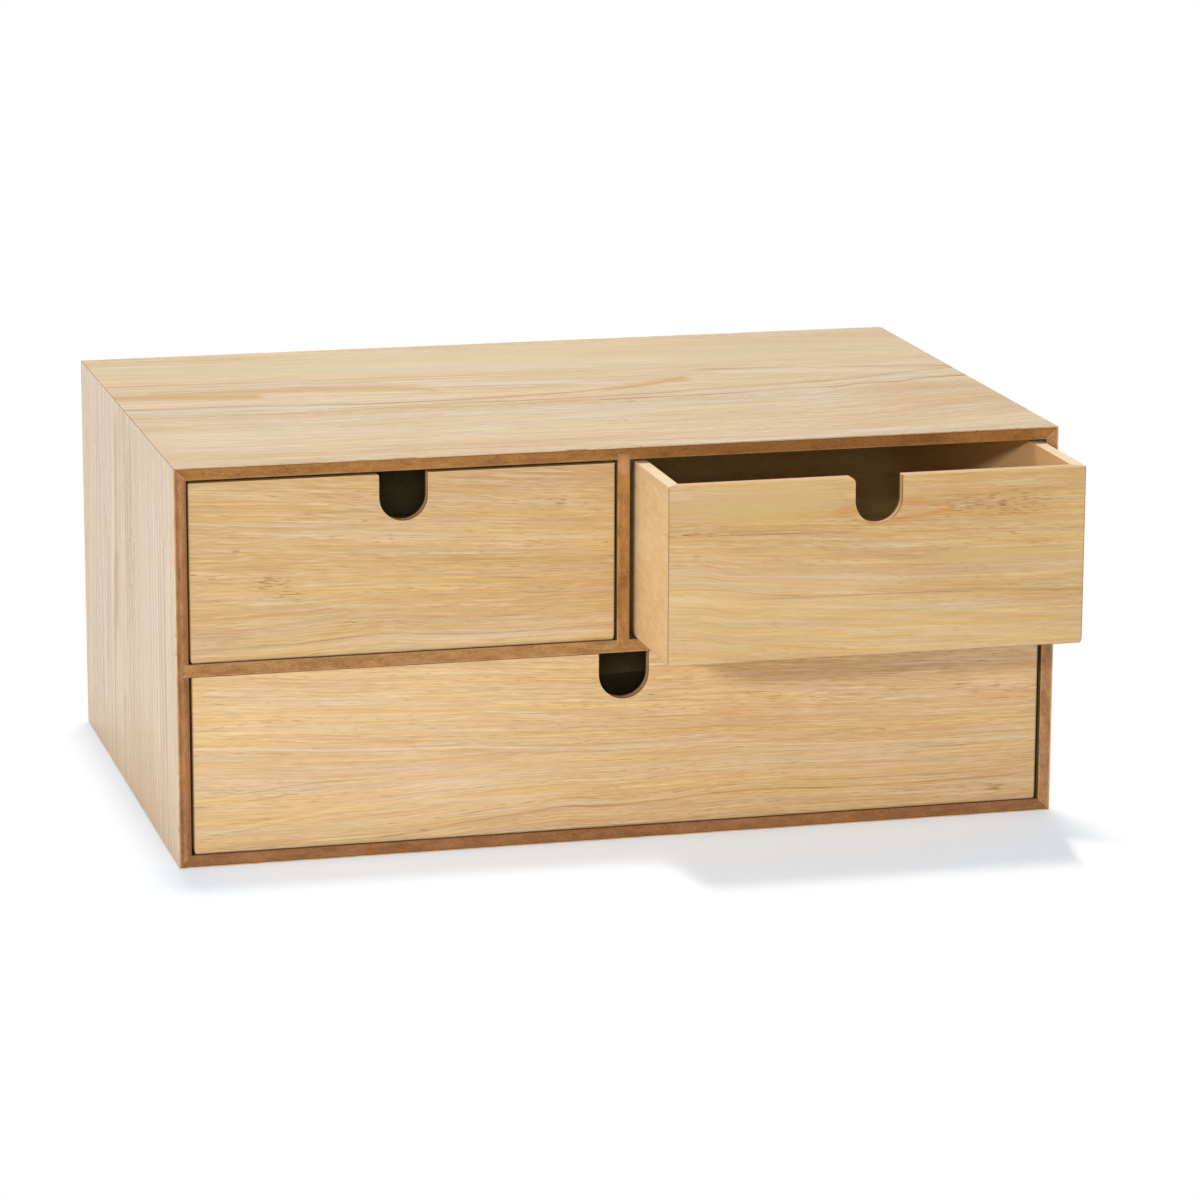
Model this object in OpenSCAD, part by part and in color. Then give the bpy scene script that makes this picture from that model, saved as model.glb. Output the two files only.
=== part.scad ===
// Desktop cabinet with three small drawers, for stationery, crafts and small parts.
//
// The cabinet is a mitred box of fibreboard, veneered inside and out, with its brown
// front edges left bare. A full-width shelf is housed in its sides, and an upright
// divider is housed in the top and in the shelf. Two drawers stand side by side above
// the shelf and a wide one below it. Each drawer is a mitred fibreboard box with a
// veneered front, and a finger notch in the top edge of that front.
//
// Axes: +X to the right, +Y to the back, +Z up, in millimetres. The origin is the
// middle of the base, on the surface that the cabinet stands on. The modules for the
// boards work from the cabinet's lower left front corner, and on_base() moves them.

/* [Cabinet] */
// Width over the outer veneers
cabinet_w = 360; // [300:1:460]
// Height over the outer veneers
cabinet_h = 160; // [130:1:240]
// Depth from the front edges to the rear edges
cabinet_d = 235; // [180:1:320]
// Clear height of the bay for the wide drawer
lower_bay_h = 72; // [45:0.5:95]
// Clear width of the upper left bay
left_bay_w = 171.8; // [100:0.1:220]

/* [Boards] */
// Thickness of a cabinet board with both its veneers
board_t = 5; // [4:0.1:8]
// Thickness of one sheet of veneer
veneer_t = 0.45; // [0.3:0.05:0.8]
// Radius along the cabinet's four outer edges
edge_r = 0.45; // [0.1:0.05:0.9]
// How deep the shelf and the divider are let into the boards that hold them
housing_depth = 2.2; // [1:0.1:3]
// Glue line round each piece that is let into another
glue_gap = 0.05; // [0:0.01:0.2]

/* [Back panel] */
// Thickness of the plain back panel
back_t = 3; // [2:0.5:5]
// Distance from the boards' rear edges to the back panel
back_inset = 5; // [2:0.5:12]
// How deep the back panel is let into the four outer boards
back_groove = 2.2; // [1:0.1:3]

/* [Drawers] */
// Thickness of a drawer's front, sides and back
drawer_board_t = 5; // [4:0.1:8]
// Thickness of a drawer's bottom
drawer_bottom_t = 3; // [2:0.5:4]
// Height of the bottom above the drawer's lower edges
bottom_rise = 3; // [1.5:0.5:8]
// How deep the bottom is let into the drawer's front, sides and back
bottom_groove = 2.2; // [1:0.1:3]
// Width of the easing along a drawer's lower outer edges
ease_w = 0.9; // [0.3:0.1:2]
// Height of that easing
ease_h = 2.6; // [0.5:0.1:4]

/* [Drawer clearances] */
// Gap on each side of the upper left drawer
left_side_gap = 0.9; // [0.6:0.05:2.5]
// Gap on each side of the upper right drawer
right_side_gap = 1.6; // [0.6:0.05:2.5]
// Gap on each side of the wide drawer
wide_side_gap = 1.25; // [0.6:0.05:2.5]
// Gap over each upper drawer
upper_top_gap = 1.5; // [0.5:0.1:3]
// Gap over the wide drawer
wide_top_gap = 0.5; // [0.4:0.1:3]
// Gap under a drawer, where it slides
run_gap = 0.2; // [0.2:0.05:0.6]
// Gap between a closed drawer and the back panel
stop_gap = 0.5; // [0.3:0.1:3]
// How far a closed front sits behind the cabinet's front edges
front_recess = 1.2; // [0:0.1:5]

/* [Finger notches] */
// Width of an upper drawer's notch, and so of its round bottom
upper_notch_w = 19.4; // [14:0.1:32]
// Width of the wide drawer's notch
wide_notch_w = 20.6; // [14:0.1:32]
// Depth of a notch below the drawer's top edge
notch_depth = 18.8; // [12:0.1:30]
// Radius of the corner on a notch's left, in the upper left drawer
left_notch_r = 0.8; // [0.3:0.1:2.5]
// Radius of the same corner in the upper right drawer, which is rounded more
right_notch_r = 2.2; // [0.3:0.1:2.5]
// Radius of the same corner in the wide drawer
wide_notch_r = 0.4; // [0.3:0.1:2.5]
// Radius of the corner on every notch's right
far_notch_r = 0.4; // [0.3:0.1:2.5]

/* [How the drawers stand] */
// How far the upper right drawer is pulled out
right_drawer_out = 49; // [0:1:150]
// How far the upper right drawer stands off the middle of its bay, to the right
right_drawer_shift = 1.1; // [-1.3:0.1:1.3]

/* [Hidden] */

// How far a cutter reaches past the face that it opens
over = 1;
// Facets of a full circle
round_fn = 96;
// Angle between two points of an eased edge
ease_step = 15;

// The back panel, from its front face to its rear face
back_y1 = cabinet_d - back_inset;
back_y0 = back_y1 - back_t;
// The shelf, whose lower face is the ceiling of the lower bay
shelf_z = board_t + lower_bay_h;
shelf_top = shelf_z + board_t;
// The divider, whose left face closes the upper left bay
divider_x = board_t + left_bay_w;
// The two bays that are left over from the sizes above
upper_bay_h = cabinet_h - board_t - shelf_top;
right_bay_w = cabinet_w - board_t - (divider_x + board_t);
lower_bay_w = cabinet_w - 2 * board_t;
// Length of a drawer, which is the same for all three
drawer_d = back_y0 - stop_gap - front_recess;

// A bay is [left, floor, clear width, clear height, side gap, top gap, drawer's shift,
// drawer's pull-out, notch's width, radius of the corner on the notch's left]
left_bay = [
    board_t, shelf_top, left_bay_w, upper_bay_h, left_side_gap, upper_top_gap,
    0, 0, upper_notch_w, left_notch_r
];
right_bay = [
    divider_x + board_t, shelf_top, right_bay_w, upper_bay_h, right_side_gap, upper_top_gap,
    right_drawer_shift, right_drawer_out, upper_notch_w, right_notch_r
];
lower_bay = [
    board_t, board_t, lower_bay_w, lower_bay_h, wide_side_gap, wide_top_gap,
    0, 0, wide_notch_w, wide_notch_r
];

edge_colour = [0.64, 0.44, 0.27];
veneer_colour = [0.88, 0.79, 0.62];
lining_colour = [0.80, 0.68, 0.50];
back_colour = [0.62, 0.46, 0.31];
front_colour = [0.87, 0.74, 0.52];
box_colour = [0.85, 0.70, 0.51];

// ---------------------------------------------------------------- helpers

// Moves a piece from the cabinet's lower left front corner to the model's origin
module on_base() {
    translate([-cabinet_w / 2, -cabinet_d / 2, 0]) children();
}

// Extrudes a front elevation, drawn in X and Z, from y0 back to y1
module along_depth(y0, y1) {
    translate([0, y1, 0]) rotate([90, 0, 0]) linear_extrude(y1 - y0) children();
}

// A box from its lowest to its highest corner
module block(low, high) {
    translate(low) cube(high - low);
}

// ---------------------------------------------------------------- cabinet

// Elevation of one layer of an outer board, from depth a to depth b under its outer
// face, with both ends mitred
function mitred(side, a, b) =
    let (w = cabinet_w, h = cabinet_h)
    side == "top" ? [[a, h - a], [w - a, h - a], [w - b, h - b], [b, h - b]] :
    side == "bottom" ? [[a, a], [w - a, a], [w - b, b], [b, b]] :
    side == "left" ? [[a, a], [b, b], [b, h - b], [a, h - a]] :
    [[w - a, a], [w - a, h - a], [w - b, h - b], [w - b, b]];

module layer(side, a, b) {
    along_depth(0, cabinet_d) polygon(mitred(side, a, b));
}

// The waste outside the rounded outer edge at the corner of the elevation
module edge_waste() {
    along_depth(-over, cabinet_d + over) difference() {
        translate([-over, -over]) square(over + edge_r);
        translate([edge_r, edge_r]) circle(edge_r, $fn = round_fn);
    }
}

module all_edge_waste() {
    for (right = [0, 1], upper = [0, 1])
        translate([right * cabinet_w, 0, upper * cabinet_h])
            mirror([right, 0, 0]) mirror([0, 0, upper]) edge_waste();
}

// The shelf with both its veneers. The pocket for it is the same block, grown.
module shelf_block(z0, z1, grow = 0, front = 0) {
    end = board_t - housing_depth - grow;
    block([end, -front, z0 - grow], [cabinet_w - end, back_y0 - glue_gap + grow, z1 + grow]);
}

module shelf_pocket() {
    shelf_block(shelf_z, shelf_top, grow = glue_gap, front = over);
}

// The divider with both its veneers, let into the shelf and into the top
module divider_block(x0, x1, grow = 0, front = 0) {
    block(
        [x0 - grow, -front, shelf_top - housing_depth - grow],
        [x1 + grow, back_y0 - glue_gap + grow, cabinet_h - board_t + housing_depth + grow]
    );
}

module divider_pocket() {
    divider_block(divider_x, divider_x + board_t, grow = glue_gap, front = over);
}

module back_block(grow = 0) {
    edge = board_t - back_groove - grow;
    block([edge, back_y0 - grow, edge], [cabinet_w - edge, back_y1 + grow, cabinet_h - edge]);
}

module back_pocket() {
    back_block(grow = glue_gap);
}

// The fibreboard core of an outer board, with its housings and its groove
module core(side) {
    color(edge_colour) on_base() difference() {
        layer(side, veneer_t, board_t - veneer_t);
        shelf_pocket();
        divider_pocket();
        back_pocket();
    }
}

module outer_veneer(side) {
    color(veneer_colour) on_base() difference() {
        layer(side, 0, veneer_t);
        all_edge_waste();
    }
}

module lining(side) {
    color(lining_colour) on_base() difference() {
        layer(side, board_t - veneer_t, board_t);
        shelf_pocket();
        divider_pocket();
        back_pocket();
    }
}

module top_board() { core("top"); }
module bottom_board() { core("bottom"); }
module left_board() { core("left"); }
module right_board() { core("right"); }

module top_veneer() { outer_veneer("top"); }
module bottom_veneer() { outer_veneer("bottom"); }
module left_veneer() { outer_veneer("left"); }
module right_veneer() { outer_veneer("right"); }

module top_lining() { lining("top"); }
module bottom_lining() { lining("bottom"); }
module left_lining() { lining("left"); }
module right_lining() { lining("right"); }

module shelf_board() {
    color(edge_colour) on_base() difference() {
        shelf_block(shelf_z + veneer_t, shelf_top - veneer_t);
        divider_pocket();
    }
}

module shelf_upper_veneer() {
    color(lining_colour) on_base() difference() {
        shelf_block(shelf_top - veneer_t, shelf_top);
        divider_pocket();
    }
}

module shelf_lower_veneer() {
    color(lining_colour) on_base() shelf_block(shelf_z, shelf_z + veneer_t);
}

module divider_board() {
    color(edge_colour) on_base()
        divider_block(divider_x + veneer_t, divider_x + board_t - veneer_t);
}

module divider_left_veneer() {
    color(lining_colour) on_base() divider_block(divider_x, divider_x + veneer_t);
}

module divider_right_veneer() {
    color(lining_colour) on_base()
        divider_block(divider_x + board_t - veneer_t, divider_x + board_t);
}

module back_panel() {
    color(back_colour) on_base() back_block();
}

// ---------------------------------------------------------------- drawers

// A drawer's pieces are made from its lower left front corner, for a given bay

function drawer_w(bay) = bay[2] - 2 * bay[4];
function drawer_h(bay) = bay[3] - run_gap - bay[5];

// Puts a drawer's piece in its bay
module in_bay(bay) {
    on_base()
        translate([bay[0] + bay[4] + bay[6], front_recess - bay[7], bay[1] + run_gap])
            children();
}

// A finger notch, open at the top edge of a front and rounded where it meets that edge
module notch(bay) {
    r = bay[8] / 2;
    translate([drawer_w(bay) / 2, 0, drawer_h(bay)]) {
        along_depth(-over, drawer_board_t + over) translate([0, r - notch_depth])
            circle(r, $fn = round_fn);
        block(
            [-r, -over, r - notch_depth],
            [r, drawer_board_t + over, over]
        );
        translate([-r, 0, 0]) notch_corner(bay[9]);
        translate([r, 0, 0]) mirror([1, 0, 0]) notch_corner(far_notch_r);
    }
}

// The waste where the notch's left wall meets the top edge
module notch_corner(r) {
    along_depth(-over, drawer_board_t + over) difference() {
        translate([-r, -r]) square([r + over, r + over]);
        translate([-r, -r]) circle(r, $fn = round_fn);
    }
}

// The waste outside the eased lower edge on the left of a drawer
module ease_waste() {
    arc = [for (a = [0:ease_step:90]) [ease_w * (1 - sin(a)), ease_h * (1 - cos(a))]];
    along_depth(-over, drawer_d + over)
        polygon(concat([[-over, ease_h], [-over, -over], [ease_w, -over]], arc));
}

module both_ease_waste(bay) {
    ease_waste();
    translate([drawer_w(bay), 0, 0]) mirror([1, 0, 0]) ease_waste();
}

// The bottom, which is let into all four walls. The side grooves run out at the back.
module bottom_block(bay, grow = 0, run_out = 0) {
    edge = drawer_board_t - bottom_groove - grow;
    block(
        [edge, edge, bottom_rise - grow],
        [drawer_w(bay) - edge, drawer_d - edge + run_out, bottom_rise + drawer_bottom_t + grow]
    );
}

// Plan of one layer of the front, from depth a to depth b, with both ends mitred
module front_layer(bay, a, b) {
    w = drawer_w(bay);
    difference() {
        linear_extrude(drawer_h(bay)) polygon([[a, a], [w - a, a], [w - b, b], [b, b]]);
        notch(bay);
        both_ease_waste(bay);
        bottom_block(bay, grow = glue_gap);
    }
}

module drawer_front(bay) {
    color(edge_colour) in_bay(bay) front_layer(bay, veneer_t, drawer_board_t);
}

module drawer_front_veneer(bay) {
    color(front_colour) in_bay(bay) front_layer(bay, 0, veneer_t);
}

// The left side, with a mitre at its front end and a groove for the bottom
module side_board(bay) {
    t = drawer_board_t;
    difference() {
        linear_extrude(drawer_h(bay)) polygon([[0, 0], [t, t], [t, drawer_d], [0, drawer_d]]);
        ease_waste();
        bottom_block(bay, grow = glue_gap, run_out = t + over);
    }
}

module drawer_left_side(bay) {
    color(box_colour) in_bay(bay) side_board(bay);
}

module drawer_right_side(bay) {
    color(box_colour) in_bay(bay)
        translate([drawer_w(bay), 0, 0]) mirror([1, 0, 0]) side_board(bay);
}

// The back stands between the sides
module drawer_back(bay) {
    t = drawer_board_t;
    color(box_colour) in_bay(bay) difference() {
        block([t, drawer_d - t, 0], [drawer_w(bay) - t, drawer_d, drawer_h(bay)]);
        bottom_block(bay, grow = glue_gap);
    }
}

module drawer_bottom(bay) {
    color(box_colour) in_bay(bay) bottom_block(bay);
}

module left_drawer_front() { drawer_front(left_bay); }
module left_drawer_front_veneer() { drawer_front_veneer(left_bay); }
module left_drawer_left_side() { drawer_left_side(left_bay); }
module left_drawer_right_side() { drawer_right_side(left_bay); }
module left_drawer_back() { drawer_back(left_bay); }
module left_drawer_bottom() { drawer_bottom(left_bay); }

module right_drawer_front() { drawer_front(right_bay); }
module right_drawer_front_veneer() { drawer_front_veneer(right_bay); }
module right_drawer_left_side() { drawer_left_side(right_bay); }
module right_drawer_right_side() { drawer_right_side(right_bay); }
module right_drawer_back() { drawer_back(right_bay); }
module right_drawer_bottom() { drawer_bottom(right_bay); }

module wide_drawer_front() { drawer_front(lower_bay); }
module wide_drawer_front_veneer() { drawer_front_veneer(lower_bay); }
module wide_drawer_left_side() { drawer_left_side(lower_bay); }
module wide_drawer_right_side() { drawer_right_side(lower_bay); }
module wide_drawer_back() { drawer_back(lower_bay); }
module wide_drawer_bottom() { drawer_bottom(lower_bay); }

// ---------------------------------------------------------------- model

top_board();
bottom_board();
left_board();
right_board();
top_veneer();
bottom_veneer();
left_veneer();
right_veneer();
top_lining();
bottom_lining();
left_lining();
right_lining();
shelf_board();
shelf_upper_veneer();
shelf_lower_veneer();
divider_board();
divider_left_veneer();
divider_right_veneer();
back_panel();
left_drawer_front();
left_drawer_front_veneer();
left_drawer_left_side();
left_drawer_right_side();
left_drawer_back();
left_drawer_bottom();
right_drawer_front();
right_drawer_front_veneer();
right_drawer_left_side();
right_drawer_right_side();
right_drawer_back();
right_drawer_bottom();
wide_drawer_front();
wide_drawer_front_veneer();
wide_drawer_left_side();
wide_drawer_right_side();
wide_drawer_back();
wide_drawer_bottom();
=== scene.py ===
"""Desktop mini drawers: oak veneer, fibreboard, studio floor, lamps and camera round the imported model.

All places are in the model's own frame: X to the right, Y to the back, Z up, in metres. The grain of
each sheet is drawn in millimetres, measured from a named corner, so that a point of the grain reads as
(place along the grain, place across the grain).
"""
import math
import bpy
from mathutils import Matrix, Vector


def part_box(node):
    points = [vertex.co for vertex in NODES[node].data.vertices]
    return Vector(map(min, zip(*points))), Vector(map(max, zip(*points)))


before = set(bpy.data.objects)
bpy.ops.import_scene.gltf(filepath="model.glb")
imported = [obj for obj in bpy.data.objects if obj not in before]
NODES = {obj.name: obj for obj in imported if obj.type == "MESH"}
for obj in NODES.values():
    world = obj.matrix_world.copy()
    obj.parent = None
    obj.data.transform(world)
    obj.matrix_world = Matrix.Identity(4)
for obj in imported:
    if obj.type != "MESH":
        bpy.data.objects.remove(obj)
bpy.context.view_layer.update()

PER_MM = 1000.0

# The cabinet's own corners, without the drawer that stands open.
CABINET_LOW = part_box("left_veneer")[0]
CABINET_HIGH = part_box("right_veneer")[1]
CABINET_WIDTH = (CABINET_HIGH.x - CABINET_LOW.x) * PER_MM
CABINET_HEIGHT = (CABINET_HIGH.z - CABINET_LOW.z) * PER_MM


def srgb(red, green, blue):
    """A screen colour, 0 to 255, as the linear RGBA that a shader takes."""
    def linear(value):
        part = value / 255
        return part / 12.92 if part <= 0.04045 else ((part + 0.055) / 1.055) ** 2.4
    return (linear(red), linear(green), linear(blue), 1.0)


WHITE = (1.0, 1.0, 1.0, 1.0)


# ------------------------ node graphs

# Sockets of the Mix node that carry colours. Its other ones are for numbers and vectors.
MIX_SHARE, MIX_FIRST, MIX_SECOND = 0, 6, 7
MIX_RESULT = 2
# A path whose heights differ by less than this is a straight line along the grain.
FLAT_MM = 1e-6
LACQUER_IOR = 1.5


class Graph:
    """Short words for the node tree of a material or world. A value is a number or a socket."""

    def __init__(self, owner):
        self.owner = owner
        owner.use_nodes = True
        self.tree = owner.node_tree
        self.tree.nodes.clear()

    def node(self, kind, inputs=None, **settings):
        """A new node with its settings, and with each input set or linked."""
        made = self.tree.nodes.new("ShaderNode" + kind)
        for key, value in settings.items():
            setattr(made, key, value)
        for place, value in (inputs or {}).items():
            self.put(made.inputs[place], value)
        return made

    def put(self, socket, value):
        if isinstance(value, bpy.types.NodeSocket):
            self.tree.links.new(value, socket)
        else:
            socket.default_value = value

    def calc(self, operation, *values):
        made = self.node("Math", operation=operation)
        for place, value in enumerate(values):
            self.put(made.inputs[place], value)
        return made.outputs[0]

    def chain(self, operation, values):
        """One operation over any number of values, from the first to the last."""
        total = values[0]
        for value in values[1:]:
            total = self.calc(operation, total, value)
        return total

    def add(self, *values):
        return self.chain("ADD", values)

    def times(self, *values):
        return self.chain("MULTIPLY", values)

    def most(self, *values):
        return self.chain("MAXIMUM", values)

    def less(self, first, second):
        return self.calc("SUBTRACT", first, second)

    def spread(self, value, from_low, from_high, to_low=0.0, to_high=1.0, soft=False):
        """value, carried from one range to another and held inside it."""
        made = self.node("MapRange", {"Value": value, "From Min": from_low, "From Max": from_high,
                                      "To Min": to_low, "To Max": to_high})
        made.interpolation_type = "SMOOTHSTEP" if soft else "LINEAR"
        return made.outputs[0]

    def near(self, value, reach):
        """1 where value is 0, falling smoothly to 0 where it is reach away."""
        return self.spread(self.calc("ABSOLUTE", value), 0.0, reach, 1.0, 0.0, soft=True)

    def between(self, value, first, last, fade):
        """1 from first to last, fading to 0 over fade inside each end."""
        rise = self.spread(value, first, first + fade, soft=True)
        fall = self.spread(value, last - fade, last, 1.0, 0.0, soft=True)
        return self.times(rise, fall)

    def path(self, u, points):
        """The height of a smooth line through the points, at each place along u."""
        first, last = points[0][0], points[-1][0]
        base = min(height for _, height in points)
        rise = max(height for _, height in points) - base
        if rise < FLAT_MM:
            return base
        made = self.node("FloatCurve", {"Value": self.spread(u, first, last)})
        line = made.mapping.curves[0]
        for place, height in points[1:-1]:
            line.points.new((place - first) / (last - first), (height - base) / rise)
        line.points[0].location = (0.0, (points[0][1] - base) / rise)
        line.points[len(points) - 1].location = (1.0, (points[-1][1] - base) / rise)
        made.mapping.update()
        return self.calc("MULTIPLY_ADD", made.outputs[0], rise, base)

    def noise(self, place, detail):
        """Smooth random values about 0."""
        made = self.node("TexNoise", {"Vector": place, "Scale": 1.0, "Detail": detail,
                                      "Roughness": 0.5})
        return self.less(made.outputs[0], 0.5)

    def grain(self, u, v, long, wide, seed, detail):
        """Random values about 0, drawn out along the grain; long and wide are their size in mm."""
        place = self.node("CombineXYZ", {0: self.calc("DIVIDE", u, long),
                                         1: self.calc("DIVIDE", v, wide), 2: seed})
        return self.noise(place.outputs[0], detail)

    def mix(self, share, first, second, blend="MIX"):
        made = self.node("Mix", data_type="RGBA", blend_type=blend)
        self.put(made.inputs[MIX_SHARE], share)
        self.put(made.inputs[MIX_FIRST], first)
        self.put(made.inputs[MIX_SECOND], second)
        return made.outputs[MIX_RESULT]

    def ramp(self, value, stops):
        """A colour for each value, from (place, colour) stops."""
        made = self.node("ValToRGB", {0: value})
        ends = made.color_ramp.elements
        for place, colour in stops[1:-1]:
            ends.new(place).color = colour
        ends[0].position, ends[0].color = stops[0]
        ends[len(stops) - 1].position, ends[len(stops) - 1].color = stops[-1]
        return made.outputs[0]

    def place_mm(self, corner):
        """Millimetres from a corner, along X, Y and Z, as three sockets."""
        spot = self.node("TexCoord").outputs["Object"]
        parts = self.node("SeparateXYZ", {0: spot}).outputs
        return [self.calc("MULTIPLY_ADD", part, PER_MM, -edge * PER_MM)
                for part, edge in zip(parts, corner)]

    def finish(self, colour, roughness, height, depth, gloss=0.5):
        """A matt lacquered surface of this colour, with bumps depth metres deep."""
        bump = self.node("Bump", {"Strength": 1.0, "Distance": depth, "Height": height})
        skin = self.node("BsdfPrincipled", {"Base Color": colour, "Roughness": roughness,
                                            "IOR": LACQUER_IOR, "Specular IOR Level": gloss,
                                            "Normal": bump.outputs[0]})
        self.node("OutputMaterial", {"Surface": skin.outputs[0]})
        return self.owner


def material_graph(name):
    return Graph(bpy.data.materials.new(name))


# ------------------------ sheets of oak veneer

OAK_DARK = srgb(178, 134, 86)
OAK_BROWN = srgb(203, 162, 110)
OAK_MIDDLE = srgb(220, 183, 130)
OAK_PALE = srgb(230, 198, 147)
OAK_CREAM = srgb(243, 217, 172)
OAK_TONES = [(0.0, OAK_DARK), (0.28, OAK_BROWN), (0.5, OAK_MIDDLE), (0.68, OAK_PALE),
             (1.0, OAK_CREAM)]
GOLDEN = srgb(212, 154, 84)
DULL_GOLD = srgb(200, 152, 82)
OLIVE_GOLD = srgb(192, 138, 54)
LINE_BROWN = srgb(142, 90, 46)
WARM_BROWN = srgb(150, 90, 24)
OCHRE_BROWN = srgb(168, 120, 48)
FLECK_BROWN = srgb(140, 92, 50)
# Painted shade in the gaps round the drawers.
GAP_SHADE_BROWN = srgb(72, 42, 22)
CALM_KHAKI = srgb(216, 183, 124)
PALE_STREAK = srgb(243, 221, 184)
# A painted highlight along the top arris of the drawer fronts.
TOP_ARRIS_HIGHLIGHT = srgb(236, 192, 118)


class Sheet:
    """How one sheet of veneer is drawn. What a sheet doesn't set for itself is as below.

    Each one also has a seed, and low_line and high_line: points on two lines of its grain, whose
    bends all the grain follows.
    """
    # Lines are (points, reach in mm to each side, strength).
    lines = ()
    golden = ()
    pale = ()
    # Patches are (middle along, middle across, reach along, reach across, strength).
    flecks = ()
    blotches = ()
    calm = ()
    cream_patches = ()
    # Pointed figures are (tip, how far it runs back, half its height there, reach, strength).
    flames = ()
    # Dark ends are (first, last) along the grain, in mm.
    dark_ends = ()
    brown = LINE_BROWN
    gold = GOLDEN
    tint = (1.0, 1.0, 1.0)
    # How strong the fine lines, broad bands, changes of hue and drawn figure are.
    contrast = 1.0
    banding = 1.0
    fine_hue = 1.0
    broad_hue = 0.45
    figure = 1.0
    # How far the fine lines are stretched along and across the grain.
    length = 1.0
    width = 1.0
    roughness = 0.42
    gloss = 0.5

    def __init__(self, **own):
        for name, value in own.items():
            setattr(self, name, value)


UPPER_LEFT = Sheet(
    seed=3.1,
    tint=(0.96, 0.955, 0.93),
    contrast=1.2,
    low_line=[(0, 87.2), (22, 87.1), (40, 87.1), (56, 88), (70, 88.9), (82, 89.3), (94, 88.9),
              (110, 88.2), (134, 87.6), (160, 88.1), (180, 88.2)],
    high_line=[(0, 135.5), (60, 131.9), (92, 129.4), (116, 127.8), (150, 125.2), (180, 123.6)],
    lines=[
        ([(2, 87.3), (22, 87.1), (40, 87.1), (56, 88), (70, 88.9), (82, 89.3), (94, 88.9),
          (110, 88.2), (134, 87.6), (160, 88.1), (180, 88.2)], 0.6, 0.6),
        ([(6, 91.5), (24, 92.6), (46, 94.8), (60, 96.4)], 0.8, 0.3),
        ([(96, 104.2), (120, 104), (150, 102.8), (180, 102)], 0.5, 0.5),
        ([(50, 117.2), (60, 115.9), (76, 114.3), (92, 113.1), (108, 112), (124, 110.6), (148, 108.4)],
         0.5, 0.5),
        ([(50, 140.6), (66, 138.9), (84, 138.6)], 0.5, 0.4),
        ([(4, 99.2), (30, 99.4), (54, 100.4), (66, 101)], 0.5, 0.4),
        ([(118, 93.8), (150, 94.4), (178, 93.6)], 0.5, 0.35),
    ],
    golden=[
        ([(0, 98.2), (30, 99), (54, 100.2), (70, 101.6)], 1.0, 0.6),
        ([(8, 93), (28, 94), (44, 95.6), (58, 98)], 1.2, 0.55),
        ([(90, 96.2), (130, 95.2), (178, 95.8)], 0.9, 0.45),
        ([(0, 106), (60, 105.6), (110, 102.6), (178, 99)], 0.9, 0.35),
    ],
    pale=[
        ([(60, 132.2), (76, 130.8), (92, 129.4), (108, 128.4), (124, 127.4), (150, 125), (178, 123.6)],
         0.8, 0.45),
        ([(0, 84.8), (60, 86), (84, 87.6), (110, 86.4), (178, 85.6)], 1.6, 0.4),
        ([(40, 131.6), (60, 131), (80, 131.8), (96, 131.2)], 0.7, 0.35),
        ([(0, 137.6), (20, 136.4), (60, 134.2)], 0.6, 0.35),
    ],
    flecks=[(38, 112.4, 15, 4, 0.8), (46, 107.2, 9, 3.6, 0.95), (24, 126, 2.6, 1.8, 0.95),
            (58, 116.2, 4, 0.9, 0.6), (14, 116, 12, 3, 0.35), (128, 128.7, 2, 0.8, 0.7),
            (150, 139, 26, 4, 0.3), (72, 89.4, 14, 1.6, 0.4)],
    blotches=[(46, 108, 10, 4, 0.3)],
    cream_patches=[(44, 94, 24, 7, 0.25), (120, 85, 80, 3, 0.2)],
)

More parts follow.
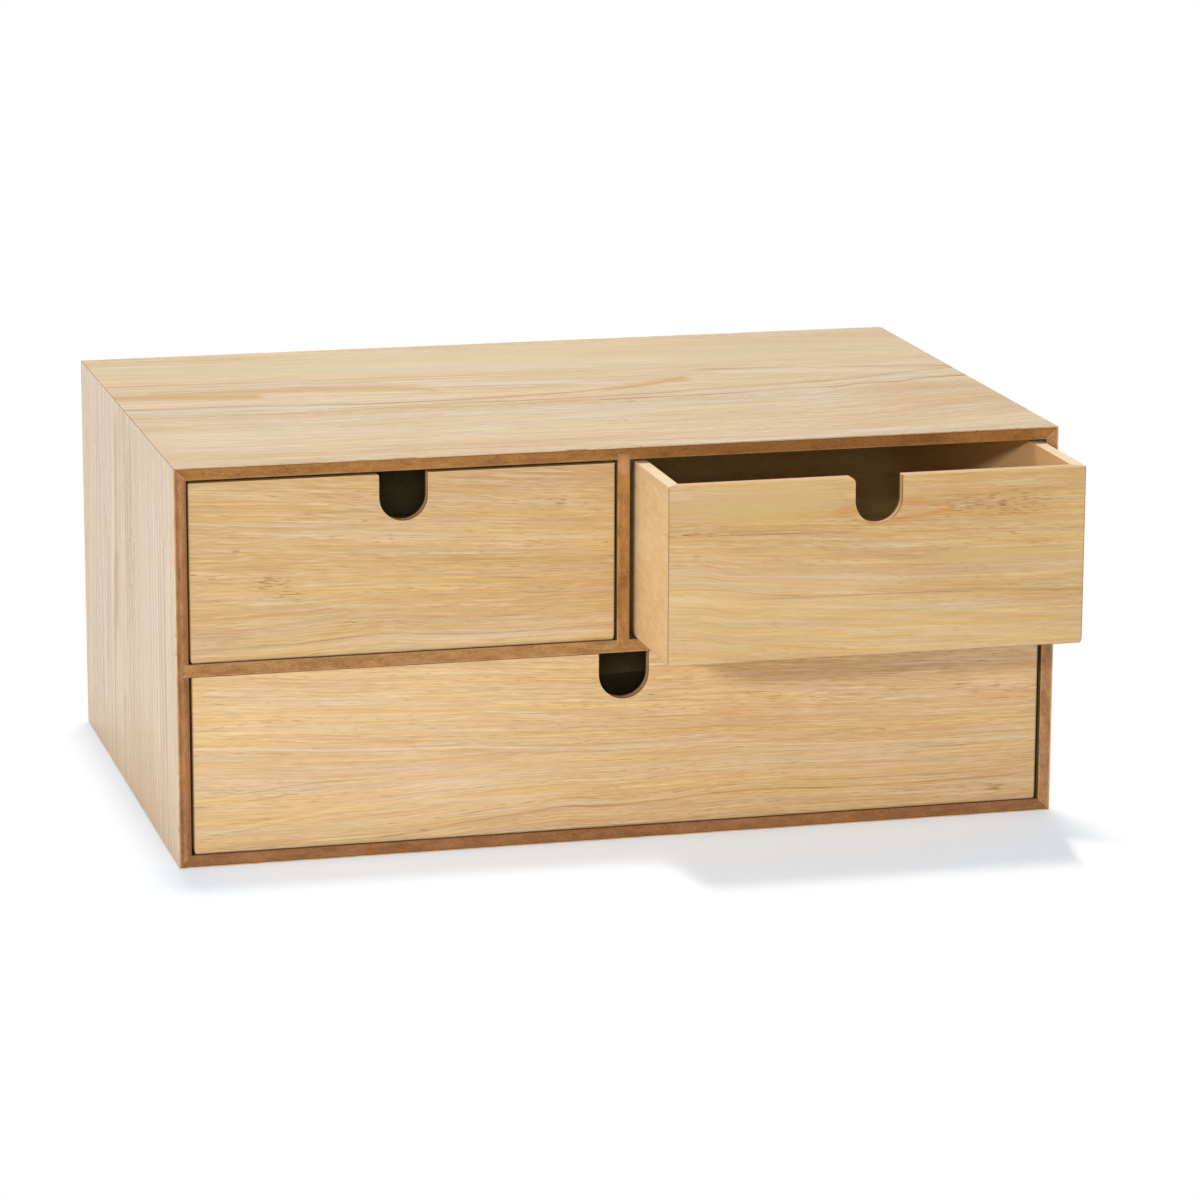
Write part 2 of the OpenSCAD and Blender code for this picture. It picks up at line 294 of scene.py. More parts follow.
WIDE = Sheet(
    seed=11.4,
    # Its paler tint is partly its own sheet and partly painted light, for the stronger light on the low
    # front.
    tint=(1.07, 1.07, 1.08),
    contrast=1.4, banding=0.9,
    low_line=[(0, 5), (60, 6.3), (85, 7.5), (97, 8.7), (121, 11.4), (145, 13.5), (157, 14.5),
              (169, 13.9), (193, 14.4), (217, 15.9), (241, 16.5), (265, 15.2), (313, 15),
              (350, 16)],
    high_line=[(0, 47.9), (36, 45.7), (60, 43.7), (84, 42.7), (120, 41.2), (168, 38.2),
               (216, 36.6), (264, 33.7), (350, 31.4)],
    lines=[
        ([(78, 6.8), (97, 8.7), (121, 11.4), (145, 13.5), (157, 14.5), (169, 13.9), (193, 14.4),
          (217, 15.9), (241, 16.5), (265, 15.2), (313, 15), (352, 16)], 0.65, 0.9),
        ([(110, 13.2), (130, 16), (160, 18), (200, 18), (240, 19.4), (275, 18.4), (340, 17.6)],
         0.6, 0.45),
        ([(4, 27.2), (28, 28.6), (56, 30.9), (80, 31.2)], 0.5, 0.6),
        ([(4, 24.2), (30, 25.4), (52, 28.2), (66, 29.6)], 0.5, 0.45),
        ([(8, 12), (24, 13.2), (52, 16.8), (90, 18.6)], 0.7, 0.4),
        ([(316, 33.8), (332, 34), (352, 33.4)], 0.5, 0.7),
        ([(262, 36.2), (284, 36), (300, 36.6)], 0.4, 0.6),
        ([(300, 30), (330, 29.4), (352, 30)], 0.5, 0.5),
    ],
    golden=[
        ([(222, 7), (240, 8.7), (256, 9.1), (272, 9.2), (300, 7.6)], 1.0, 0.6),
        ([(92, 7.4), (121, 10.6), (145, 12.8), (160, 13.8)], 0.9, 0.7),
        ([(0, 15), (30, 17), (60, 20.4)], 1.2, 0.4),
        ([(0, 41), (60, 38), (140, 34.5)], 0.9, 0.4),
        ([(210, 41), (240, 38.6), (290, 36.4)], 1.0, 0.45),
    ],
    pale=[
        ([(0, 47.9), (12, 47.2), (36, 45.7), (60, 43.7), (84, 42.7), (108, 41.9), (144, 39.6)],
         0.7, 0.95),
        ([(130, 40.6), (168, 38.2), (216, 36.6), (264, 33.7), (352, 31.4)], 0.6, 0.6),
        ([(0, 54.6), (40, 52.4), (90, 49.6), (140, 47)], 1.2, 0.5),
        ([(30, 15.5), (50, 17.8), (90, 21), (130, 19.6), (160, 20.6)], 1.3, 0.45),
        ([(88, 26.6), (110, 27.6), (130, 27)], 1.8, 0.6),
        ([(230, 20.4), (280, 22), (340, 21)], 0.9, 0.4),
    ],
    flecks=[(338, 10.8, 7, 2.6, 0.95), (30, 16.5, 14, 2.4, 0.6), (18, 29.5, 12, 3, 0.5),
            (337, 54, 7, 3.2, 0.3), (44, 58, 20, 3, 0.35), (300, 12, 30, 2.2, 0.4)],
    blotches=[(44, 57, 16, 3.2, 0.25)],
    # The broad cream patch over the left part is painted light: the light there is stronger than on the
    # right.
    cream_patches=[(50, 40, 150, 60, 0.2)],
)

UPPER_RIGHT = Sheet(
    seed=23.7,
    tint=(0.965, 0.955, 0.88),
    contrast=1.05, banding=1.3,
    low_line=[(0, 37.6), (14, 36.6), (26, 34.6), (42, 33.7), (62, 32.5), (82, 31.3), (102, 30.5),
              (132, 30), (170, 29.4)],
    high_line=[(0, 51.9), (14, 51.7), (26, 50.9), (44, 50.6), (68, 50.1), (110, 49), (170, 47.8)],
    lines=[
        ([(-6, 51.9), (8, 51.8), (14, 51.7), (26, 50.9), (44, 50.6), (62, 50.2), (80, 50)], 0.45, 0.8),
        ([(-6, 30.8), (4, 30.4), (20, 29.5), (42, 26.4), (56, 25.4)], 0.45, 0.6),
        ([(30, 25), (60, 24.6), (100, 24.2), (140, 23), (180, 21.4)], 0.45, 0.4),
        ([(10, 17.5), (30, 15.5), (60, 13.6)], 0.45, 0.4),
        ([(96, 66), (130, 64.4), (165, 63)], 0.5, 0.4),
        ([(96, 42.6), (130, 42), (160, 41.4)], 0.4, 0.4),
        ([(90, 48.8), (116, 48.4), (150, 47.6), (172, 47)], 0.4, 0.5),
    ],
    golden=[
        ([(98, 48.4), (118, 48.4), (132, 48), (144, 47.9), (156, 47.6)], 0.6, 0.6),
        ([(126, 48.1), (134, 47.9), (146, 47.8)], 0.9, 0.85),
        ([(-6, 42.6), (20, 40.4), (40, 37.2), (70, 35), (110, 34)], 1.3, 0.5),
        ([(0, 70.6), (14, 70.2), (22, 71)], 0.8, 0.5),
        ([(120, 12.4), (130, 12), (142, 11.4)], 0.9, 0.6),
    ],
    pale=[
        ([(-6, 37.9), (14, 36.6), (26, 34.6), (62, 32.5), (82, 31.3), (132, 30), (176, 29.4)],
         0.8, 0.45),
        ([(-6, 34), (30, 31.6), (80, 27.6), (130, 25), (176, 23.6)], 0.6, 0.35),
        ([(120, 45.8), (150, 45), (180, 44)], 0.7, 0.3),
    ],
    flecks=[(134, 58.5, 38, 8, 0.75), (14, 51.8, 22, 1.3, 0.8), (112, 41.6, 9, 1.8, 0.6),
            (103, 16.2, 7, 1.1, 0.6), (54, 59, 26, 6, 0.35), (128, 12.2, 9, 1.2, 0.35),
            (70, 45, 16, 2.4, 0.35), (44, 16, 40, 5, 0.3)],
    blotches=[(71.5, 57.8, 7, 3.2, 1.0), (54, 25, 4, 0.9, 0.6), (134, 58.5, 36, 8, 0.35)],
    flames=[((116.5, 57.6), 38, 4.6, 1.7, 1.25)],
    calm=[(34, 62.5, 46, 10, 0.6), (136, 37.5, 42, 4, 0.55)],
    # The first cream patch, over the left part, is painted light: the light there is stronger than on
    # the right.
    cream_patches=[(30, 16, 90, 34, 0.22), (110, 8, 80, 18, 0.3)],
)

TOP = Sheet(
    seed=37.2,
    # Its paler, bluer tint is painted sheen: it stands in for the white gloss on the top.
    tint=(0.90, 1.025, 1.385),
    contrast=1.3, banding=0.8, fine_hue=0.4, broad_hue=0.8, figure=1.3,
    length=1.3, width=1.5, roughness=0.55, gloss=0.25,
    brown=WARM_BROWN,
    gold=DULL_GOLD,
    dark_ends=[(-1.0, 0.5)],
    low_line=[(0, 102), (60, 97.5), (125, 97), (234, 97.5), (281, 100.6), (300, 103.8),
              (322, 108.4), (360, 114.7)],
    high_line=[(0, 166), (100, 161), (200, 154), (269, 152), (312, 147.5), (360, 138)],
    lines=[
        ([(190, 98), (234, 98), (262, 100.4), (281, 102.6), (296, 102.6), (310, 107.4),
          (325, 107.8), (337, 112.4), (366, 115.6)], 2.4, 1.0),
        ([(-6, 102), (30, 99), (62, 97.6), (125, 97.4), (200, 98)], 1.3, 0.6),
        ([(-6, 119.4), (31, 118), (75, 113.8), (107, 110.2), (135, 111), (160, 112.6),
          (200, 118.2)], 1.5, 0.85),
        ([(60, 101.2), (94, 100.6), (155, 102.4), (212, 105), (250, 110), (282, 113.8),
          (312, 120), (337, 127.6), (366, 135)], 1.5, 0.75),
        ([(-6, 109), (22, 105), (50, 100.4)], 1.3, 0.65),
        ([(-6, 112.4), (50, 106.6), (94, 104), (160, 105)], 1.2, 0.55),
        ([(250, 153), (269, 152), (312, 147.5), (366, 137)], 1.4, 0.65),
        ([(136, 139), (170, 137), (196, 134)], 1.2, 0.5),
        ([(62, 152), (125, 149), (200, 146.6), (262, 143)], 1.2, 0.45),
        ([(-6, 171), (50, 168), (150, 163), (230, 157), (300, 149), (366, 138)], 1.1, 0.6),
        ([(-6, 164.4), (60, 162), (150, 158), (250, 151.6), (320, 144), (366, 136)], 1.1, 0.55),
        ([(-6, 155.4), (40, 155), (90, 152.6)], 1.1, 0.5),
        ([(-6, 14.4), (60, 12.8), (160, 11.4), (240, 10)], 1.2, 0.35),
    ],
    golden=[
        ([(-9, 146), (14, 144), (34, 141), (50, 138), (64, 135.4)], 10.5, 0.95),
        ([(-9, 142), (20, 138.4), (40, 135.6), (64, 131.4)], 3, 0.6),
        ([(10, 150.4), (40, 149.6), (70, 148), (96, 147), (118, 142), (131, 135), (138, 131)],
         6.5, 0.8),
        ([(66, 145), (90, 143.4), (112, 139), (128, 132.4)], 5, 0.6),
        ([(196, 118.6), (212, 121.6), (224, 126.6), (232, 131.4), (238, 136), (247, 141)], 5.5, 1.0),
        ([(135, 111.6), (165, 113.6), (200, 119), (222, 125.6)], 2.8, 0.7),
        ([(94, 100), (155, 103.4), (219, 107.4), (250, 112), (281, 116.4), (312, 122.6),
          (366, 136.6)], 2.4, 0.45),
        ([(-6, 121), (31, 119.6), (75, 116), (100, 112.4)], 2.4, 0.5),
    ],
    pale=[
        ([(58, 138), (80, 137.4), (104, 135), (126, 130)], 5, 0.3),
        ([(128, 146), (160, 142), (190, 137), (216, 129)], 7.5, 0.35),
        ([(256, 146), (290, 141), (330, 133), (350, 129)], 8, 0.3),
        ([(-6, 114.4), (40, 110.4), (80, 107.4), (130, 106)], 1.4, 0.45),
        ([(-6, 130), (60, 125), (110, 119.6), (170, 121)], 2.6, 0.3),
        ([(230, 104.4), (281, 109), (312, 114), (366, 124)], 2, 0.3),
        ([(-6, 153.4), (40, 152.8), (90, 150.4), (140, 149)], 1.4, 0.4),
        ([(-6, 167.6), (80, 164.6), (180, 158.6), (260, 153), (366, 140)], 1.6, 0.35),
    ],
    flecks=[(200, 93, 190, 6, 0.6), (330, 92, 50, 8, 0.4), (180, 18, 170, 9, 0.35),
            (40, 12, 60, 8, 0.3)],
    blotches=[(236, 133, 10, 8, 0.8), (40, 222, 60, 7, 0.4), (320, 214, 90, 16, 0.4),
              (336, 78, 50, 40, 0.5), (26, 82, 40, 12, 0.2)],
    calm=[(180, 195, 230, 38, 0.5)],
    cream_patches=[(150, 184, 120, 24, 0.15), (40, 50, 60, 40, 0.12)],
)

# The left side stands on end: along the grain is up, and across it is back from the front edge.
LEFT = Sheet(
    seed=51.9,
    # Its paler, bluer tint is painted light: it stands in for the cooler light and the white sheen on
    # this side.
    tint=(1.085, 1.175, 1.47),
    contrast=1.7, banding=0.4, fine_hue=0.7, broad_hue=0.4, figure=1.8,
    length=3, width=1.3, roughness=0.32,
    brown=OCHRE_BROWN,
    gold=OLIVE_GOLD,
    low_line=[(0, 40), (60, 39.6), (160, 38.4)],
    high_line=[(0, 156), (40, 155), (60, 152.6), (90, 149), (120, 144), (160, 141)],
    lines=[
        ([(-4, 24.6), (40, 25), (88, 25), (130, 24.4)], 1.4, 0.85),
        ([(-4, 32), (50, 33), (110, 33)], 1.2, 0.6),
        ([(-4, 39), (50, 38.6), (120, 38)], 1.2, 0.55),
        ([(-4, 47), (60, 46.4), (130, 46)], 1.2, 0.6),
        ([(-4, 53), (50, 53), (140, 52.4)], 1.2, 0.6),
        ([(-4, 59), (60, 58.4), (130, 58)], 1.2, 0.55),
        ([(-4, 91), (40, 92), (70, 92)], 1.4, 0.7),
        ([(-4, 99), (60, 99), (110, 98)], 1.2, 0.6),
        ([(20, 104.6), (80, 105.4), (164, 105)], 1.4, 0.7),
        ([(20, 113), (90, 113.6), (164, 114)], 1.4, 0.8),
        ([(60, 119), (120, 120), (164, 121)], 1.4, 0.8),
        ([(-4, 132.4), (20, 131), (42, 129.6)], 2, 0.9),
        ([(-4, 157), (30, 155.4), (64, 153)], 1.6, 0.9),
        ([(0, 166), (40, 165), (100, 164)], 1.4, 0.75),
        ([(20, 173), (70, 171.6), (110, 171)], 1.4, 0.7),
        ([(10, 188), (60, 188), (130, 187)], 1.4, 0.55),
        ([(-4, 196), (60, 195.6), (140, 195)], 1.4, 0.5),
        ([(-4, 205), (50, 204), (110, 203)], 1.2, 0.45),
        ([(90, 178), (130, 177), (164, 177)], 1.4, 0.55),
    ],
    golden=[
        ([(58, 151.4), (72, 148.8), (86, 146.4), (104, 144.4), (140, 142.6), (154, 142)], 5, 0.8),
        ([(58, 151.8), (66, 150), (80, 147), (100, 144)], 9, 1.0),
        ([(44, 153.6), (60, 151.8), (74, 149)], 4, 0.8),
        ([(80, 119), (130, 118), (164, 118.6)], 1.8, 0.6),
        ([(-4, 130), (20, 128.6), (36, 127)], 3, 0.5),
    ],
    pale=[
        ([(-4, 141), (40, 139), (80, 133), (120, 130)], 4, 0.25),
        ([(-4, 29), (60, 29), (130, 29)], 1.6, 0.5),
        ([(-4, 43), (60, 42.4), (130, 42)], 1.6, 0.5),
        ([(-4, 50), (60, 49.6), (140, 49)], 1.4, 0.5),
        ([(-4, 56), (60, 55.6), (140, 55)], 1.4, 0.5),
        ([(60, 158), (100, 154), (130, 152), (164, 151)], 3.5, 0.4),
        ([(20, 180), (90, 182), (164, 184)], 2.4, 0.45),
        ([(10, 192), (60, 192), (130, 191)], 1.6, 0.4),
    ],
    flecks=[(110, 108, 60, 18, 0.7)],
    # The two broad blotches at the foot are painted reflection: the warmer band where the side mirrors
    # the shaded floor.
    blotches=[(80, 148, 20, 7, 1.0), (0, 80, 54, 120, 0.5), (0, 150, 30, 130, 0.4)],
    calm=[(90, 72, 90, 16, 0.35), (100, 214, 80, 16, 0.25)],
    cream_patches=[(40, 145, 30, 14, 0.25), (100, 72, 80, 18, 0.12)],
)

# The faces that the usual view hides have plain straight grain.
RIGHT = Sheet(
    seed=67.3,
    # Its paler, bluer tint is painted light, like the left side's: it also makes up for the weaker light
    # on this side.
    tint=(1.07, 1.12, 1.3),
    low_line=[(0, 60), (50, 62), (100, 61), (160, 58)],
    high_line=[(0, 170), (60, 166), (110, 168), (160, 172)],
    lines=[
        ([(-5, 70), (60, 73), (165, 71)], 0.8, 0.5),
        ([(-5, 121), (70, 117), (165, 120)], 0.9, 0.5),
        ([(20, 188), (90, 185), (150, 187)], 0.8, 0.4),
        ([(-5, 30), (70, 33), (165, 30)], 0.7, 0.4),
    ],
    golden=[([(-5, 126), (70, 122), (165, 125)], 2, 0.4), ([(-5, 40), (165, 42)], 1.6, 0.3)],
    pale=[([(-5, 96), (80, 98), (165, 95)], 2.4, 0.4), ([(-5, 150), (165, 152)], 2, 0.4)],
    flecks=[(80, 100, 60, 30, 0.4)],
    blotches=[(40, 150, 40, 12, 0.3)],
)

UNDERSIDE = Sheet(
    seed=83.5,
    # Its paler, bluer tint is painted light, as on the right side.
    tint=(1.0, 1.04, 1.2),
    low_line=[(0, 60), (120, 66), (240, 62), (360, 70)],
    high_line=[(0, 170), (120, 160), (260, 166), (360, 158)],
    lines=[([(-5, 80), (120, 86), (250, 82), (370, 90)], 0.9, 0.5),
           ([(-5, 140), (150, 132), (370, 136)], 0.8, 0.4)],
    golden=[([(-5, 90), (180, 98), (370, 96)], 1.8, 0.4)],
    pale=[([(-5, 112), (180, 108), (370, 112)], 3, 0.4)],
    flecks=[(180, 120, 120, 30, 0.4)],
)

# The thin veneer that lines the bays. Its dark tint is painted shade: it stands in for the shade inside
# the bays.
INSIDE = Sheet(
    seed=97.7,
    tint=(0.72, 0.84, 0.95),
    contrast=0.8, roughness=0.55,
    low_line=[(0, 30), (200, 34), (360, 30)],
    high_line=[(0, 150), (200, 144), (360, 150)],
    lines=[([(-5, 60), (180, 66), (370, 62)], 0.9, 0.4)],
    golden=[([(-5, 90), (180, 94), (370, 88)], 1.6, 0.3)],
    pale=[([(-5, 120), (370, 118)], 2.4, 0.3)],
)


# ------------------------ masks on a sheet

# The mm over which a drawn line fades out at its ends.
END_FADE = 7.0
# How a pointed figure opens behind its tip: 0.5 is a parabola, 1 is straight.
FLAME_OPENING = 0.6


def along_line(g, u, w, points, reach):
    """1 on a smooth line through the points, fading over reach mm beside it and at its ends."""
    beside = g.near(g.less(w, g.path(u, points)), reach)
    ends = g.between(u, points[0][0], points[-1][0], END_FADE)
    return g.times(beside, ends)


def in_patch(g, u, w, middle_u, middle_w, reach_u, reach_w):
    """1 at the middle of an oval patch, fading to 0 at its rim."""
    part_u = g.calc("MULTIPLY_ADD", u, 1 / reach_u, -middle_u / reach_u)
    part_w = g.calc("MULTIPLY_ADD", w, 1 / reach_w, -middle_w / reach_w)
    squared = g.add(g.times(part_u, part_u), g.times(part_w, part_w))
    return g.spread(squared, 0.0, 1.0, 1.0, 0.0, soft=True)


def on_flame(g, u, w, tip, run, half_height, reach):
    """1 on the outline of a pointed figure whose two sides open behind its tip."""
    behind = g.less(tip[0], u)
    share = g.calc("MAXIMUM", g.calc("DIVIDE", behind, run), 0.0)
    half = g.times(g.calc("POWER", share, FLAME_OPENING), half_height)
    beside = g.near(g.less(g.calc("ABSOLUTE", g.less(w, tip[1])), half), reach)
    return g.times(beside, g.between(behind, -reach, run, 2 * reach))


def strongest(g, u, w, draw, marks):
    """The highest of a sheet's marks of one kind. Each mark ends in its strength."""
    best = 0.0
    for *mark, strength in marks:
        best = g.calc("MAXIMUM", best, g.times(draw(g, u, w, *mark), strength))
    return best


# ------------------------ oak veneer

# Each random layer: its size along and across the grain in mm, what it adds to the sheet's seed,
# its detail, and whether the sheet's length and width stretch it.
LAYERS = {
    "broad": (240, 17, 0.0, 1.0, False),
    "bands": (160, 4.2, 1.3, 1.0, False),
    "lines": (60, 1.4, 2.6, 1.0, True),
    "fibres": (24, 0.50, 3.9, 0.0, True),
    "hairs": (6.5, 0.40, 4.4, 0.0, False),
    "dashes": (4.6, 0.32, 5.2, 0.0, False),
    "dark_threads": (26, 0.42, 5.8, 0.0, True),
    "gold_threads": (34, 0.9, 6.1, 0.0, True),
    "pale_threads": (40, 0.9, 6.7, 0.0, True),
    "fine_cream": (80, 2.2, 7.1, 1.5, False),
    "broad_cream": (200, 12, 8.3, 1.0, False),
    "fine_rose": (60, 1.8, 9.7, 1.5, False),
    "broad_rose": (150, 10, 10.9, 1.0, False),
}
# A slow sway of all the layers across the grain, given in the same way, and its reach in mm.
SWAY = (110, 22, 0.5, 1.0, False)
SWAY_REACH = 2.2

# How much each layer changes the tone, which runs from 0 to 1. A sheet's banding scales the bands,
# and its contrast the lines and pores.
BAND_SHARES = {"broad": 0.40, "bands": 0.24}
LINE_SHARES = {"lines": 0.30, "fibres": 0.28, "hairs": 0.36}
PORE_SHARE = -0.50
# How far red, green and blue drift where the wood turns to cream, and where it turns to rose.
CREAM_DRIFT = (-0.102, 0.034, 0.68)
ROSE_DRIFT = (0.065, -0.065, 0.065)
# Random threads: their layer, where its crests begin and are full, and the most that they cover.
DARK_THREADS = ("dark_threads", 0.14, 0.36, 0.42)
GOLD_THREADS = ("gold_threads", 0.06, 0.32, 0.55)
PALE_THREADS = ("pale_threads", 0.08, 0.34, 0.60)
THREAD_BREAKS = 0.4
# The most that each kind of figure covers of the wood's own colour.
DARK_COVER = 0.8
GOLD_COVER = 0.8
PALE_COVER = 0.6
FLECK_COVER = 0.6
DARK_END_COVER = 0.75
DARK_END_FADE = 0.15
VENEER_BUMP = 0.00006


def random_layer(g, u, v, sheet, numbers):
    """One random layer of the grain, about 0."""
    long, wide, seed_step, detail, stretched = numbers
    if stretched:
        long, wide = long * sheet.length, wide * sheet.width
    return g.grain(u, v, long, wide, sheet.seed + seed_step, detail)


def warped(g, u, w, sheet):
    """The place across the grain after the grain's own bends and a slow sway are taken out."""
    low, high = sheet.low_line, sheet.high_line
    low_bend = g.less(g.path(u, low), low[0][1])
    high_bend = g.less(g.path(u, high), high[0][1])
    share = g.spread(w, low[0][1], high[0][1])
    bend = g.add(low_bend, g.times(g.less(high_bend, low_bend), share))
    return g.add(g.less(w, bend), g.times(random_layer(g, u, w, sheet, SWAY), SWAY_REACH))


def pore_masks(g, u, w, grain, sheet):
    """Short dark pores, and the patches that are full of them."""
    flecked = strongest(g, u, w, in_patch, sheet.flecks)
    porous = g.spread(g.add(grain["bands"], g.times(grain["lines"], 0.6)), -0.06, 0.16, 0.12, 0.75)
    dashes = g.spread(g.add(grain["dashes"], g.times(flecked, 0.12)), 0.15, 0.30, soft=True)
    return g.times(dashes, g.most(porous, flecked)), flecked


def threads(g, grain, kind, *shares):
    """Thin random threads of one kind, broken up by the hairs, times the shares."""
    name, first, full, cover = kind
    crests = g.spread(g.add(grain[name], g.times(grain["hairs"], THREAD_BREAKS)), first, full)
    return g.times(crests, *shares, cover)


def figure_masks(g, u, w, grain, sheet, lively):
    """How dark, golden and pale the drawn figure and the random threads make each place."""
    banded = g.spread(grain["bands"], -0.1, 0.12, 0.2, 1.0)
    broken_up = g.spread(g.add(grain["lines"], g.times(grain["fibres"], 0.7)), -0.30, 0.10, 1.0, 0.35)
    dark = g.most(g.times(strongest(g, u, w, along_line, sheet.lines), broken_up),
                  threads(g, grain, DARK_THREADS, banded, lively))

    golden = g.most(strongest(g, u, w, along_line, sheet.golden),
                    strongest(g, u, w, in_patch, sheet.blotches),
                    strongest(g, u, w, on_flame, sheet.flames))
    plain = g.less(1.0, golden)
    streaked = g.spread(g.add(grain["fibres"], grain["lines"]), -0.25, 0.2, 0.5, 1.0)
    golden = g.most(g.times(golden, streaked), threads(g, grain, GOLD_THREADS, lively))
    pale = g.most(strongest(g, u, w, along_line, sheet.pale),
                  threads(g, grain, PALE_THREADS, lively))
    return dark, golden, g.times(plain, pale)


def grain_tone(g, grain, pores, sheet, lively):
    """The tone of the plain wood, from 0 for its darkest to 1 for its palest colour."""
    streaks = [g.times(grain[name], share * sheet.banding) for name, share in BAND_SHARES.items()]
    streaks += [g.times(grain[name], share * sheet.contrast) for name, share in LINE_SHARES.items()]
    streaks.append(g.times(pores, PORE_SHARE * sheet.contrast))
    return g.add(0.5, g.times(g.add(*streaks), lively))


def drifting_tint(g, grain, sheet):
    """The sheet's tint, which drifts between golden and cream and between rose and green."""
    cream, rose = [g.add(g.times(grain["fine_" + hue], sheet.fine_hue),
                         g.times(grain["broad_" + hue], sheet.broad_hue))
                   for hue in ("cream", "rose")]
    drifted = [g.add(part, g.times(rose, rose_part), g.times(cream, cream_part))
               for part, rose_part, cream_part in zip(sheet.tint, ROSE_DRIFT, CREAM_DRIFT)]
    return g.node("CombineColor", dict(enumerate(drifted))).outputs[0]


def with_cut_edge(g, colour, cut):
    """The veneer's colour, with painted shade over its first 10 mm behind the front, where it lies in
    the gaps round the drawers, and like its board's fibre on the cut edge.
    """
    long_axis, stops, seed, edge = cut
    spots = g.place_mm(CABINET_LOW)
    behind_front = spots[1]
    edge_mark = (stripe("Y", -1.0, 1.0), *edge)
    fibre = fibre_colour(g, spots, long_axis, stops, seed, [edge_mark])[0]
    # Painted shade in the gaps round the drawers, strongest at the front edge and gone 10 mm in.
    colour = g.mix(g.spread(behind_front, 0.0, 10.0, 0.9, 0.0), colour, GAP_SHADE_BROWN)
    return g.mix(g.spread(behind_front, 0.06, 0.12, 1.0, 0.0), colour, fibre)


def with_rim(g, colour, rim, hairs):
    """The veneer's colour with a painted highlight along its top arris, and thin dark lines down its
    ends and along its foot; the one down the right end is painted shade on the arris that turns away
    from the light.
    """
    low, high = rim
    x, _, z = g.place_mm(CABINET_LOW)
    broken_up = g.spread(hairs, -0.15, 0.15, 0.3, 0.9)
    foot = g.times(g.spread(z, low.z + 0.2, low.z + 0.5, 1.0, 0.0), broken_up, 0.7)
    # Dark lines down both ends; the one down the right end is painted shade on the arris that turns away
    # from the light.
    left_end = g.spread(x, low.x + 0.1, low.x + 0.5, 0.9, 0.0)
    right_end = g.spread(x, high.x - 0.5, high.x - 0.2, 0.0, 0.6)
    colour = g.mix(g.most(left_end, right_end, foot), colour, LINE_BROWN)
    # A painted highlight along the top arris, which faces up to the light.
    return g.mix(g.spread(z, high.z - 0.3, high.z - 0.1, 0.0, 0.8), colour, TOP_ARRIS_HIGHLIGHT)


def face_colour(g, u, w, grain, pores, flecked, sheet):
    """The colour of the sheet's face: plain wood, calm and bright patches, figure, flecks and tint."""
    calm = strongest(g, u, w, in_patch, sheet.calm)
    lively = g.less(1.0, calm)
    dark, golden, pale = figure_masks(g, u, w, grain, sheet, lively)
    colour = g.ramp(grain_tone(g, grain, pores, sheet, lively), OAK_TONES)
    colour = g.mix(calm, colour, CALM_KHAKI)
    # Cream patches; the broad ones on the left of the wide front and the right front are painted light.
    colour = g.mix(strongest(g, u, w, in_patch, sheet.cream_patches), colour, OAK_CREAM)
    colour = g.mix(g.times(golden, GOLD_COVER * sheet.figure), colour, sheet.gold)
    colour = g.mix(g.times(pale, PALE_COVER * sheet.figure), colour, PALE_STREAK)
    colour = g.mix(g.times(dark, DARK_COVER * sheet.figure), colour, sheet.brown)
    colour = g.mix(g.times(pores, g.times(flecked, FLECK_COVER)), colour, FLECK_BROWN)
    for first, last in sheet.dark_ends:
        end = g.between(u, first, last, DARK_END_FADE)
        colour = g.mix(g.times(end, DARK_END_COVER), colour, LINE_BROWN)
    return g.mix(1.0, colour, drifting_tint(g, grain, sheet), blend="MULTIPLY")


def oak(name, axes, corner, sheet, cut=None, rim=None):
    """Oak veneer drawn as its sheet says, with its grain along axes[0] and axes[1] across it."""
    g = material_graph(name)
    spots = dict(zip("XYZ", g.place_mm(corner)))
    u, w = spots[axes[0]], spots[axes[1]]
    v = warped(g, u, w, sheet)
    grain = {key: random_layer(g, u, v, sheet, numbers) for key, numbers in LAYERS.items()}
    bands, lines, fibres = grain["bands"], grain["lines"], grain["fibres"]
    pores, flecked = pore_masks(g, u, w, grain, sheet)
    colour = face_colour(g, u, w, grain, pores, flecked, sheet)
    if cut:
        colour = with_cut_edge(g, colour, cut)
    if rim:
        colour = with_rim(g, colour, rim, grain["hairs"])
    roughness = g.add(sheet.roughness, g.times(bands, 0.16), g.times(lines, 0.2),
                      g.times(pores, 0.16))
    height = g.add(g.times(fibres, 0.5), g.times(lines, 0.35), g.times(pores, -0.9))
    return g.finish(colour, roughness, height, VENEER_BUMP, sheet.gloss)


# ------------------------ fibreboard

BOARD_TONES = [(0.1, srgb(124, 78, 38)), (0.5, srgb(172, 120, 70)), (0.9, srgb(200, 148, 96))]
BOARD_SPECK = srgb(92, 54, 26)
BOARD_FLAKE = srgb(222, 184, 132)
GLUE_PALE = srgb(228, 190, 142)

# The pressed fibre's layers: size in mm, detail, and a shift that keeps them from looking alike.
CLOUD = (14.0, 1.0, 0.0)
MOTTLE = (2.4, 2.0, 3.7)
FIBRE = (0.55, 2.0, 8.1)
SPECK = (0.8, 1.0, 12.3)
FLAKE = (1.1, 1.0, 17.9)
# Places along the board's long axis count this much, which draws the fibres out.
ALONG_BOARD = 0.35
BOARD_BUMP = 0.00008


